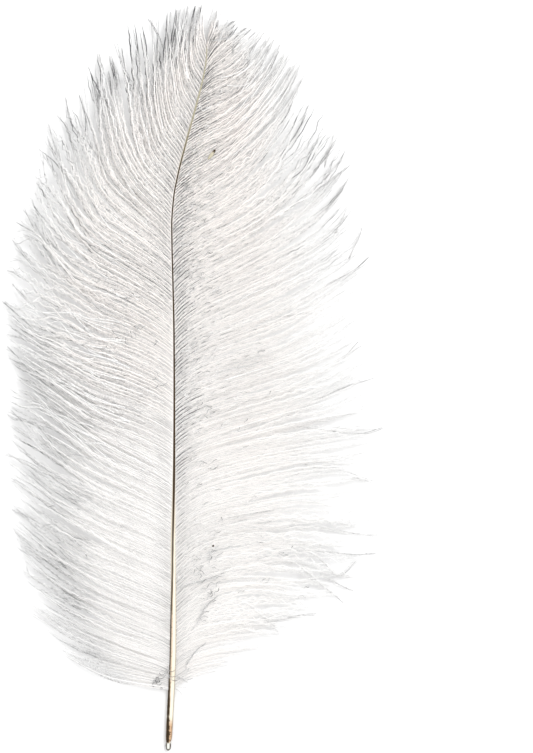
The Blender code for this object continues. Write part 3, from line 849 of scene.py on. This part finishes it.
def build_vane(name, vane, parts):
    """One vane in a few pieces of neighbouring barbs, to keep each mesh small enough."""
    sizes, stations = bpy.context.scene.plume_sizes, 44
    for number, chosen in enumerate(np.array_split(np.arange(vane.count), parts)):
        strands_piece(f"{name}_{number + 1}", vane, chosen, stations, sizes.barbule_length,
                      sizes.barbule_pitch)


def vane_height(column, row):
    """Height of the vanes' upper side at a grid point, for loose strands to lie on: it falls from
    the shaft's height to the table over the half width of the vane there, with a low arch."""
    centre, height = shaft_at(row)
    arch, barb_room = 0.045, 0.0016
    half = np.interp(row, [0, 60, 150, 300, 480, 600, 690], [40, 75, 130, 170, 190, 150, 30]) * GRID
    share = np.clip(np.abs(column - centre) * GRID / half, 0, 1)
    return height * (1 - share ** 1.35) + arch * half * np.sin(math.pi * share ** 0.8) + barb_room


def wisp_strands():
    """The single wisps, each with two fainter companions that part from it a little. A wisp's line
    starts further in than its first point."""
    chance, long_wisp = np.random.default_rng(5), 40
    base = np.array([wisp[:3] for wisp in WISPS], dtype=float)
    base = np.concatenate([base[:, :1] + 0.9 * (base[:, :1] - base[:, 1:2]), base], axis=1)
    dark = np.array([wisp[3] for wisp in WISPS])
    sets, tones = [], []
    for copy in range(3):
        reach = np.linalg.norm(base[:, -1] - base[:, 1], axis=1) / long_wisp
        apart = chance.uniform(-1.5, 1.5, base.shape) * (0.3 + 0.7 * copy) * reach[:, None, None]
        tip_apart = chance.uniform(-1.5 * copy, 1.5 * copy, (len(base), 2)) * reach[:, None]
        points = base + apart
        points[:, -1] += tip_apart
        sets.append(points)
        tones.append(dark * (1.0 - 0.28 * copy))
    grid = np.concatenate(sets)
    height = vane_height(grid[..., 0], grid[..., 1]) + np.array([-0.0012, 0.0, 0.0006, 0.0])
    points = np.concatenate([plan(grid), height[..., None]], axis=-1)
    return Loose(points, np.minimum(np.concatenate(tones) * 1.15, 1.0), thickness=0.00040, seed=6)


def curl_strands():
    """Down at the foot of the vanes. Each curl starts beside the shaft and turns steadily as it
    runs: loops and nearly straight lines on the left, and a few hairs on the right."""
    chance = np.random.default_rng(18)
    kind, steps = np.repeat([0, 1, 2], [6, 5, 8]), 16    # loops, lines and hairs
    count, side = len(kind), np.where(kind < 2, -1.0, 1.0)

    def drawn(*spans):
        """One value for each curl, drawn evenly from its kind's span."""
        return np.choose(kind, [chance.uniform(*span, count) for span in spans])

    row = drawn((676, 687), (664, 676), (674, 690))
    column, height = shaft_at(row)
    apart = drawn((5, 15), (4.5, 6.5), (3, 8))
    size = drawn((7, 13), (10, 15), (8, 17))
    turns = drawn((0.7, 1.3), (0.1, 0.45), (0.05, 0.2)) * chance.choice([-1.0, 1.0], count)
    share = np.linspace(0, 1, steps)[None, :]
    spread = drawn((-1.2, 1.4), (1.3, 1.8), (-0.5, 0.7))
    heading = spread[:, None] + 2 * math.pi * turns[:, None] * share ** 1.3
    stride = size[:, None] / (steps - 1) * (1.25 - 0.5 * share)
    across = np.cumsum(np.cos(heading) * stride, axis=1) * side[:, None]
    down = np.cumsum(np.sin(heading) * stride, axis=1)
    grid = np.stack([(column + side * apart)[:, None] + across, row[:, None] + down], axis=-1)
    bow = 0.0022 * np.sin(math.pi * share) * chance.uniform(0.4, 1.4, (count, 1))
    rise = height[:, None] + 0.0016 + bow + 0.0012 * share
    points = np.concatenate([plan(grid), rise[..., None]], axis=-1)
    return Loose(points, drawn((0.9, 1.0), (0.9, 1.0), (0.4, 0.5)), thickness=0.00046, seed=9)


def lying_lines(chance, guides, number, start, reach, sway, drift, lowest=590):
    """Grid lines that lie along a vane: each starts at a random root row above the lowest one and
    at a share drawn by start, runs outwards over a share drawn from the range reach, sways in a
    small wave and drifts to another row."""
    steps = 13
    share = np.linspace(0, 1, steps)[None, :]
    row = chance.uniform(90, lowest, (number, 1))
    turns = chance.uniform(0.6, 1.6, (number, 1))
    turn = 2 * math.pi * (turns * share + chance.uniform(0, 1, (number, 1)))
    rows = row + chance.normal(0, sway, (number, 1)) * np.sin(turn)
    rows = rows + chance.normal(0, drift, (number, 1)) * share
    along = start(number)[:, None] + chance.uniform(*reach, (number, 1)) * share
    return vane_point(np.array(guides, dtype=float), rows, along * 0.97 / max(1.0, along.max()))


def lying_strands(grid, dark, thickness, seed):
    """Strands along grid lines, just over the vanes."""
    lift = 0.0012
    height = vane_height(grid[..., 0], grid[..., 1]) + lift
    points = np.concatenate([plan(grid), height[..., None]], axis=-1)
    return Loose(points, dark, thickness, seed)


def crinkle_strands():
    """Short crinkled threads that lie over the vanes, most of them near the shaft; some are grey
    and some white."""
    chance = np.random.default_rng(14)
    grid = np.concatenate([
        lying_lines(chance, guides, number, lambda size: chance.beta(1.1, 2.6, size) * 0.8 + 0.03,
                    reach=(0.015, 0.06), sway=0.7, drift=2.0)
        for guides, number in ((LEFT_GUIDES, 300), (RIGHT_GUIDES, 500))])
    dark = np.where(chance.random(len(grid)) < 0.4, 0.0, chance.uniform(0.2, 0.7, len(grid)))
    return lying_strands(grid, dark, thickness=0.00034, seed=15)


def squiggle_strands():
    """Small dark squiggles in a few patches over the vanes. Each is a walk in short steps whose
    heading swings to and fro."""
    chance = np.random.default_rng(31)
    patches = np.array([patch[:4] for patch in SQUIGGLES for _ in range(patch[4])], dtype=float)
    count, steps = len(patches), 9
    middle = patches[:, :2] + chance.uniform(-1, 1, (count, 2)) * patches[:, 2:]
    shaft_column = 172
    heading = np.where(middle[:, 0] > shaft_column, -0.5, -2.7) + chance.normal(0, 0.5, count)
    swing = chance.uniform(0.3, 0.9, (count, 1)) * np.sin(
        chance.uniform(0.6, 1.3, (count, 1)) * np.arange(steps) + chance.uniform(0, 6.3, (count, 1)))
    heading = heading[:, None] + swing
    stride = chance.uniform(0.5, 1.5, (count, 1))
    walk = np.stack([np.cos(heading), np.sin(heading)], axis=-1) * stride[..., None]
    grid = middle[:, None, :] + np.cumsum(walk, axis=1)
    return lying_strands(grid, chance.uniform(0.7, 1.0, count), thickness=0.00046, seed=32)


def thread_strands():
    """Long white threads that lie over the vanes' outer halves and cross their barbs at a slant,
    most of them on the left."""
    chance = np.random.default_rng(23)
    grid = np.concatenate([
        lying_lines(chance, guides, number, lambda size: chance.uniform(0.25, 0.75, size),
                    reach=(0.20, 0.48), sway=1.2, drift=9.0, lowest=500)
        for guides, number in ((LEFT_GUIDES, 150), (RIGHT_GUIDES, 24))])
    dark = np.where(chance.random(len(grid)) < 0.85, 0.0, 0.5)
    return lying_strands(grid, dark, thickness=0.00060, seed=24)


def tube_faces(count, around):
    """Triangles of a closed tube of count rings with around corners each, whose two end points
    follow the rings' corners."""
    first = np.arange(count - 1)[:, None] * around
    corner = np.arange(around)[None, :]
    after = (corner + 1) % around
    a, b, c, d = (x.ravel() for x in np.broadcast_arrays(
        first + corner, first + after, first + around + after, first + around + corner))
    ends = count * around
    corner, after = corner.ravel(), after.ravel()
    last = (count - 1) * around
    return np.concatenate([
        np.column_stack([a, b, c]), np.column_stack([a, c, d]),
        np.column_stack([after, corner, np.full(around, ends)]),
        np.column_stack([last + corner, last + after, np.full(around, ends + 1)])])


def shaft_mesh():
    """The shaft: rings carried along its line, closer over the quill's rounded end, with a point at
    both ends. The line's bends are eased by a running mean. The thin end is a little thicker and
    higher than the solid's, so that it shows over the barbs. A ring's radius dips where the groove
    runs, in a bell over the angle, and nothing goes below the table."""
    points = np.array(SHAFT)
    flat_points = plan(points[:, :2])
    along = np.concatenate([[0], np.cumsum(np.linalg.norm(np.diff(flat_points, axis=0), axis=1))])
    fine = np.concatenate([np.linspace(0, along[NECK], 44, endpoint=False),
                           np.linspace(along[NECK], along[-1], 260)])
    x, y, row, radius, height = (
        np.interp(fine, along, values) for values in (*flat_points.T, *points.T[1:]))
    top = 1 - smooth_step(row, 180, 280)
    radius = radius / 1000 * (1 + 0.2 * top)
    height = height / 1000 + 0.0005 * top
    half_window = 6
    kernel = np.hanning(2 * half_window + 1)
    kernel /= kernel.sum()
    x, height = (np.convolve(np.pad(line, half_window, mode='edge'), kernel, mode='valid')
                 for line in (x, height))
    centre = np.column_stack([x, y, height])
    ahead = unit(np.gradient(centre, axis=0))
    count, around = len(fine), 28
    angle = 2 * math.pi * np.arange(around) / around
    groove_at, groove_width = np.radians(114), 0.36
    groove_depth = 0.30 * smooth_step(-row, -690, -520)
    apart = (angle[None, :] - groove_at + math.pi) % (2 * math.pi) - math.pi
    dip = 1 - groove_depth[:, None] * np.exp(-(apart / groove_width) ** 2)
    skin = rings(centre, ahead, angle, radius[:, None] * dip)
    skin[:, :, 2] = np.maximum(skin[:, :, 2], 0.0)
    vertices = np.concatenate([skin.reshape(-1, 3), centre[:1], centre[-1:] + ahead[-1:] * 0.0012])
    share = np.repeat(np.linspace(0, 1, count), around)
    turn = np.tile(angle / (2 * math.pi), count)
    places = np.column_stack([0.02 + 0.96 * turn, 0.02 + 0.96 * share])
    places = np.concatenate([places, [[0.5, 0.01], [0.5, 0.99]]])
    rows = np.concatenate([np.repeat(row, around), row[:1], row[-1:]])
    across = np.concatenate([np.tile(np.cos(angle), count), [0, 0]])
    upward = np.concatenate([np.tile(np.sin(angle), count), [0, 0]])
    return vertices, tube_faces(count, around), places, shaft_tones(rows, across, upward)


def shaft_tones(rows, across, upward):
    """Tones of the shaft from zero to one: the dark stripe, the olive upper end, the stain, the
    clear end and a milky stretch. The stripe is a band across the skin, partly the horn's brown
    pigment and partly painted shade of the groove and of the quill's left side. It lies on the left
    of the quill and covers more and more of the shaft as this narrows, and its sides are notched by
    two waves near the quill's end. The stain has a tan streak above it, the quill's right side gets
    painted shade, and the clear end has a dark rim of painted shade along its sides and its tip; both
    are carried in the stripe's numbers."""
    places = [120, 300, 480, 540, 620, 680, 705, 722, 736]
    centre = np.interp(rows, places, [0.10, 0.10, 0.06, -0.12, -0.76, -0.76, -0.60, -0.55, -0.42])
    half = np.interp(rows, places, [0.75, 0.78, 0.76, 0.50, 0.24, 0.28, 0.44, 0.50, 0.64])
    notches = 0.09 * np.sin(rows * 0.9) + 0.07 * np.sin(rows * 2.3 + 1.0)
    half = half * (1 + notches * smooth_step(rows, 690, 720) * 2)
    # The stripe: brown pigment and painted shade of the groove and the quill's left side.
    stripe = 1 - smooth_step(np.abs(across - centre) / half, 0.80, 1.20)
    stripe = stripe * np.interp(rows, [500, 560, 670, 700], [1.0, 0.9, 0.9, 1.0])
    stripe = np.where(upward > 0, stripe, 0.3 * stripe)
    khaki = 1 - smooth_step(rows, 100, 175)
    stain = smooth_step(rows, 716, 728) * (1 - smooth_step(rows, 742, 744.5))
    tan = 1 - smooth_step(np.abs(across + 0.38), 0.12, 0.34)
    stain = stain + 0.55 * tan * smooth_step(rows, 560, 600) * (1 - smooth_step(rows, 700, 716))
    clear = smooth_step(rows, 743, 745)
    milky = smooth_step(rows, 150, 200) * (1 - smooth_step(rows, 430, 530))
    # Painted shade: a dark rim along the clear end's sides and its tip.
    rim = clear * np.maximum(smooth_step(np.abs(across), 0.42, 0.66), smooth_step(rows, 749.2, 750.6))
    # Painted shade on the quill's right side.
    shade = 0.55 * smooth_step(across, 0.62, 0.90) * smooth_step(rows, 540, 600)
    stripe = np.maximum(np.maximum(stripe, shade) * (1 - clear), rim)
    return {"stripe": stripe, "khaki": khaki, "stain": stain, "clear": clear, "milky": milky}


def speck_mesh():
    """Specks on the right vane: flattened spindles, each a closed tube along a short line whose
    radius follows the root of a half sine. The husk is dark at its outer end, the grain all over."""
    count, around, flatness, rise = 7, 8, 0.45, 0.0024
    share = np.linspace(0.08, 0.92, count)
    angle = 2 * math.pi * np.arange(around) / around
    shares = np.concatenate([np.repeat(share, around), [0.0, 1.0]])
    turns = np.concatenate([np.tile(angle / (2 * math.pi), count), [0.5, 0.5]])
    vertices, faces, places, dark, khaki = [], [], [], [], []
    for number, (first, last, half, olive) in enumerate(SPECKS):
        grid = np.array([first, last])
        ends = np.column_stack([plan(grid), vane_height(grid[:, 0], grid[:, 1]) + rise])
        line = ends[1] - ends[0]
        radius = half * np.sqrt(np.sin(math.pi * share))
        skin = rings(ends[0] + line * share[:, None], unit(np.tile(line, (count, 1))), angle,
                     radius[:, None], flatness)
        faces.append(tube_faces(count, around) + number * len(shares))
        vertices += [skin.reshape(-1, 3), ends]
        places.append(np.column_stack([turns, (number + shares) / len(SPECKS)]))
        outer = smooth_step(shares, 0.55, 0.75) if olive else np.ones(len(shares))
        dark.append(outer)
        khaki.append(olive * (1 - outer))
    vertices, faces, places, dark, khaki = map(np.concatenate, (vertices, faces, places, dark, khaki))
    none = np.zeros(len(dark))
    return vertices, faces, places, {
        "stripe": dark, "khaki": khaki, "stain": none, "clear": none, "milky": none}


# ------------------------------------------------------------------ materials
def set_inputs(tree, node, inputs):
    """Sets a node's inputs, each to another node's output, to a number or to a colour's or a
    scale's three numbers."""
    for key, value in inputs.items():
        socket = node.inputs[key]
        if isinstance(value, bpy.types.NodeSocket):
            tree.links.new(value, socket)
        else:
            socket.default_value = (*value, 1) if socket.type == 'RGBA' else value


def add_node(tree, kind, inputs=None, **values):
    """A new node with its properties and inputs set."""
    made = tree.nodes.new(kind)
    for key, value in values.items():
        setattr(made, key, value)
    set_inputs(tree, made, inputs or {})
    return made


def blend(tree, factor, first, second):
    """A mix of two colours by a factor."""
    return add_node(tree, "ShaderNodeMix", {0: factor, 6: first, 7: second}, data_type='RGBA').outputs[2]


def mesh_numbers(tree, *names):
    """The mesh's own numbers, one output for each name."""
    return [add_node(tree, "ShaderNodeAttribute", attribute_name=name).outputs["Fac"] for name in names]


def new_material(name):
    """A new material that is drawn by nodes."""
    made = bpy.data.materials.new(name)
    made.use_nodes = True
    return made


def barb_material():
    """Soft white barbs: a matt surface that lets some light through, mixed from white, cream and
    grey by the mesh's own numbers, with a fine mottling of grey where these call for it. Much of
    the grey is painted shade, and pale barbs are kept light as a painted highlight."""
    if "soft white barbs" in bpy.data.materials:
        return bpy.data.materials["soft white barbs"]
    colours = bpy.context.scene.plume_colours
    made = new_material("soft white barbs")
    tree = made.node_tree
    tree.nodes.clear()
    grey, warm, rough = mesh_numbers(tree, "grey", "warm", "rough")
    place = add_node(tree, "ShaderNodeMapping", {
        "Vector": add_node(tree, "ShaderNodeTexCoord").outputs["Object"], "Scale": (1.0, 1.0, 0.1)})
    mottle = add_node(tree, "ShaderNodeTexNoise", {
        "Vector": place.outputs[0], "Scale": 1100, "Detail": 1})
    spots = add_node(tree, "ShaderNodeMapRange", {
        "Value": mottle.outputs["Fac"], "From Min": 0.49, "From Max": 0.64, "To Max": 0.38})
    mottled = add_node(tree, "ShaderNodeMath", {0: spots.outputs[0], 1: rough, 2: grey},
                       operation='MULTIPLY_ADD', use_clamp=True)
    colour = blend(tree, warm, colours.barb, colours.warm)
    # The grey mixed in here carries the painted shade.
    colour = blend(tree, mottled.outputs[0], colour, colours.grey)
    surface = add_node(tree, "ShaderNodeBsdfPrincipled", {
        "Base Color": colour, "Roughness": 0.7, "Specular IOR Level": 0.25})
    through = add_node(tree, "ShaderNodeBsdfTranslucent", {"Color": colour})
    mix = add_node(tree, "ShaderNodeMixShader", {0: 0.35, 1: surface.outputs[0], 2: through.outputs[0]})
    add_node(tree, "ShaderNodeOutputMaterial", {"Surface": mix.outputs[0]})
    return made


def horn_material():
    """Horn: ivory with a dark brown stripe that is partly pigment and partly painted shade, olive at
    its thin end, stained orange brown with dark flecks at the quill's end and clear grey beyond,
    drawn by the mesh's own numbers."""
    if "ivory horn" in bpy.data.materials:
        return bpy.data.materials["ivory horn"]
    colours, clear_grey = bpy.context.scene.plume_colours, (0.55, 0.56, 0.52)
    made = new_material("ivory horn")
    tree = made.node_tree
    stripe, khaki, stain, clear, milky = mesh_numbers(
        tree, "stripe", "khaki", "stain", "clear", "milky")
    flecks = add_node(tree, "ShaderNodeTexNoise", {
        "Vector": add_node(tree, "ShaderNodeTexCoord").outputs["Object"], "Scale": 900, "Detail": 3})
    fleck = add_node(tree, "ShaderNodeMapRange", {
        "Value": flecks.outputs["Fac"], "From Min": 0.56, "From Max": 0.66})
    both = add_node(tree, "ShaderNodeMath", {0: fleck.outputs[0], 1: stain}, operation='MULTIPLY')
    colour = colours.horn
    for factor, other in ((milky, colours.warm), (stain, colours.stain), (clear, clear_grey),
                          (stripe, colours.stripe), (both.outputs[0], colours.stripe),
                          (khaki, colours.khaki)):
        colour = blend(tree, factor, colour, other)
    set_inputs(tree, tree.nodes["Principled BSDF"], {
        "Base Color": colour, "Roughness": 0.5, "Specular IOR Level": 0.08})
    return made


# ------------------------------------------------------------------ operators
class PLUME_OT_shaft(bpy.types.Operator):
    """Make the quill and the shaft"""
    bl_idname = "plume.shaft"
    bl_label = "Make the shaft"

    def execute(self, context):
        piece("shaft", "quill", horn_material(), *shaft_mesh()).data.shade_smooth()
        return {'FINISHED'}


class PLUME_OT_left_vane(bpy.types.Operator):
    """Make the barbs on the left of the shaft"""
    bl_idname = "plume.left_vane"
    bl_label = "Make the left vane"

    def execute(self, context):
        vane = LeftVane(LEFT_GUIDES, context.scene.plume_sizes, seed=21)
        build_vane("left_vane", vane, parts=4)
        return {'FINISHED'}


class PLUME_OT_right_vane(bpy.types.Operator):
    """Make the barbs on the right of the shaft"""
    bl_idname = "plume.right_vane"
    bl_label = "Make the right vane"

    def execute(self, context):
        vane = RightVane(RIGHT_GUIDES, context.scene.plume_sizes, seed=12)
        build_vane("right_vane", vane, parts=4)
        return {'FINISHED'}


class PLUME_OT_loose(bpy.types.Operator):
    """Make the loose wisps, the crinkled threads, the down and the specks"""
    bl_idname = "plume.loose"
    bl_label = "Make the loose strands"

    def execute(self, context):
        for name, strands, stations, barbule_length, barbule_pitch in (
                ("wisps", wisp_strands(), 20, 0.0016, 0.00035),
                ("crinkles", crinkle_strands(), 13, 0.0005, 0.0006),
                ("squiggles", squiggle_strands(), 25, 0.0003, 0.0008),
                ("threads", thread_strands(), 25, 0.0008, 0.0005),
                ("down", curl_strands(), 36, 0.0002, 0.0008)):
            strands_piece(name, strands, np.arange(len(strands.length)), stations, barbule_length,
                          barbule_pitch)
        piece("specks", "quill", horn_material(), *speck_mesh())
        return {'FINISHED'}


class PLUME_OT_stage(bpy.types.Operator):
    """Make the table, the lights and the camera"""
    bl_idname = "plume.stage"
    bl_label = "Make the stage"

    def execute(self, context):
        reach, sunk = 3.0, -0.0002
        mesh = bpy.data.meshes.new("table")
        mesh.from_pydata([(-reach, -reach, sunk), (reach, -reach, sunk), (reach, reach, sunk),
                          (-reach, reach, sunk)], [], [(0, 1, 2, 3)])
        paper = new_material("white paper")
        set_inputs(paper.node_tree, paper.node_tree.nodes["Principled BSDF"], {
            "Base Color": (0.67, 0.67, 0.67), "Roughness": 0.9})
        mesh.materials.append(paper)
        table = placed("table", mesh)
        world = bpy.data.worlds.new("soft light")
        world.use_nodes = True
        set_inputs(world.node_tree, world.node_tree.nodes["Background"], {
            "Color": (1, 1, 1), "Strength": 1.345})
        context.scene.world = world
        lamp = bpy.data.lights.new("window", 'AREA')
        lamp.shape = 'DISK'
        lamp.size = 0.8
        lamp.energy = 16.5
        window = placed("window", lamp)
        window.location = (0.7, 0.5, 1.2)
        window.rotation_euler = (-window.location).to_track_quat('-Z', 'Y').to_euler()
        lens = bpy.data.cameras.new("camera")
        distance, middle_height = 1.3, 0.006
        lens.sensor_fit = 'VERTICAL'
        lens.sensor_height = 24
        lens.lens = lens.sensor_height * distance / (PICTURE_ROWS * GRID)
        camera = placed("camera", lens)
        camera.location = (*plan(PICTURE_CENTRE), distance + middle_height)
        context.scene.camera = camera
        context.scene.view_settings.view_transform = 'Standard'
        return {'FINISHED'}


class PLUME_PT_panel(bpy.types.Panel):
    """The plume's pieces, sizes and colours"""
    bl_idname = "PLUME_PT_panel"
    bl_label = "Plume"
    bl_space_type = 'VIEW_3D'
    bl_region_type = 'UI'
    bl_category = "Plume"

    def draw(self, context):
        """A button for each operator, then a field for each size and colour."""
        for operator in OPERATORS:
            self.layout.operator(operator.bl_idname)
        for group in (context.scene.plume_sizes, context.scene.plume_colours):
            for name in group.bl_rna.properties.keys():
                if name not in ("rna_type", "name"):
                    self.layout.prop(group, name)


OPERATORS = (PLUME_OT_stage, PLUME_OT_shaft, PLUME_OT_left_vane, PLUME_OT_right_vane, PLUME_OT_loose)
CLASSES = (PlumeSizes, PlumeColours) + OPERATORS + (PLUME_PT_panel,)


def register():
    """Registers the classes and gives each scene the plume's sizes and colours."""
    for made in CLASSES:
        bpy.utils.register_class(made)
    bpy.types.Scene.plume_sizes = bpy.props.PointerProperty(type=PlumeSizes)
    bpy.types.Scene.plume_colours = bpy.props.PointerProperty(type=PlumeColours)


def unregister():
    """Takes away what register adds."""
    del bpy.types.Scene.plume_colours
    del bpy.types.Scene.plume_sizes
    for made in reversed(CLASSES):
        bpy.utils.unregister_class(made)


def main():
    """Makes the stage and the pieces."""
    register()
    bpy.ops.plume.stage()
    bpy.ops.plume.shaft()
    bpy.ops.plume.left_vane()
    bpy.ops.plume.right_vane()
    bpy.ops.plume.loose()


if __name__ == "__main__":
    main()
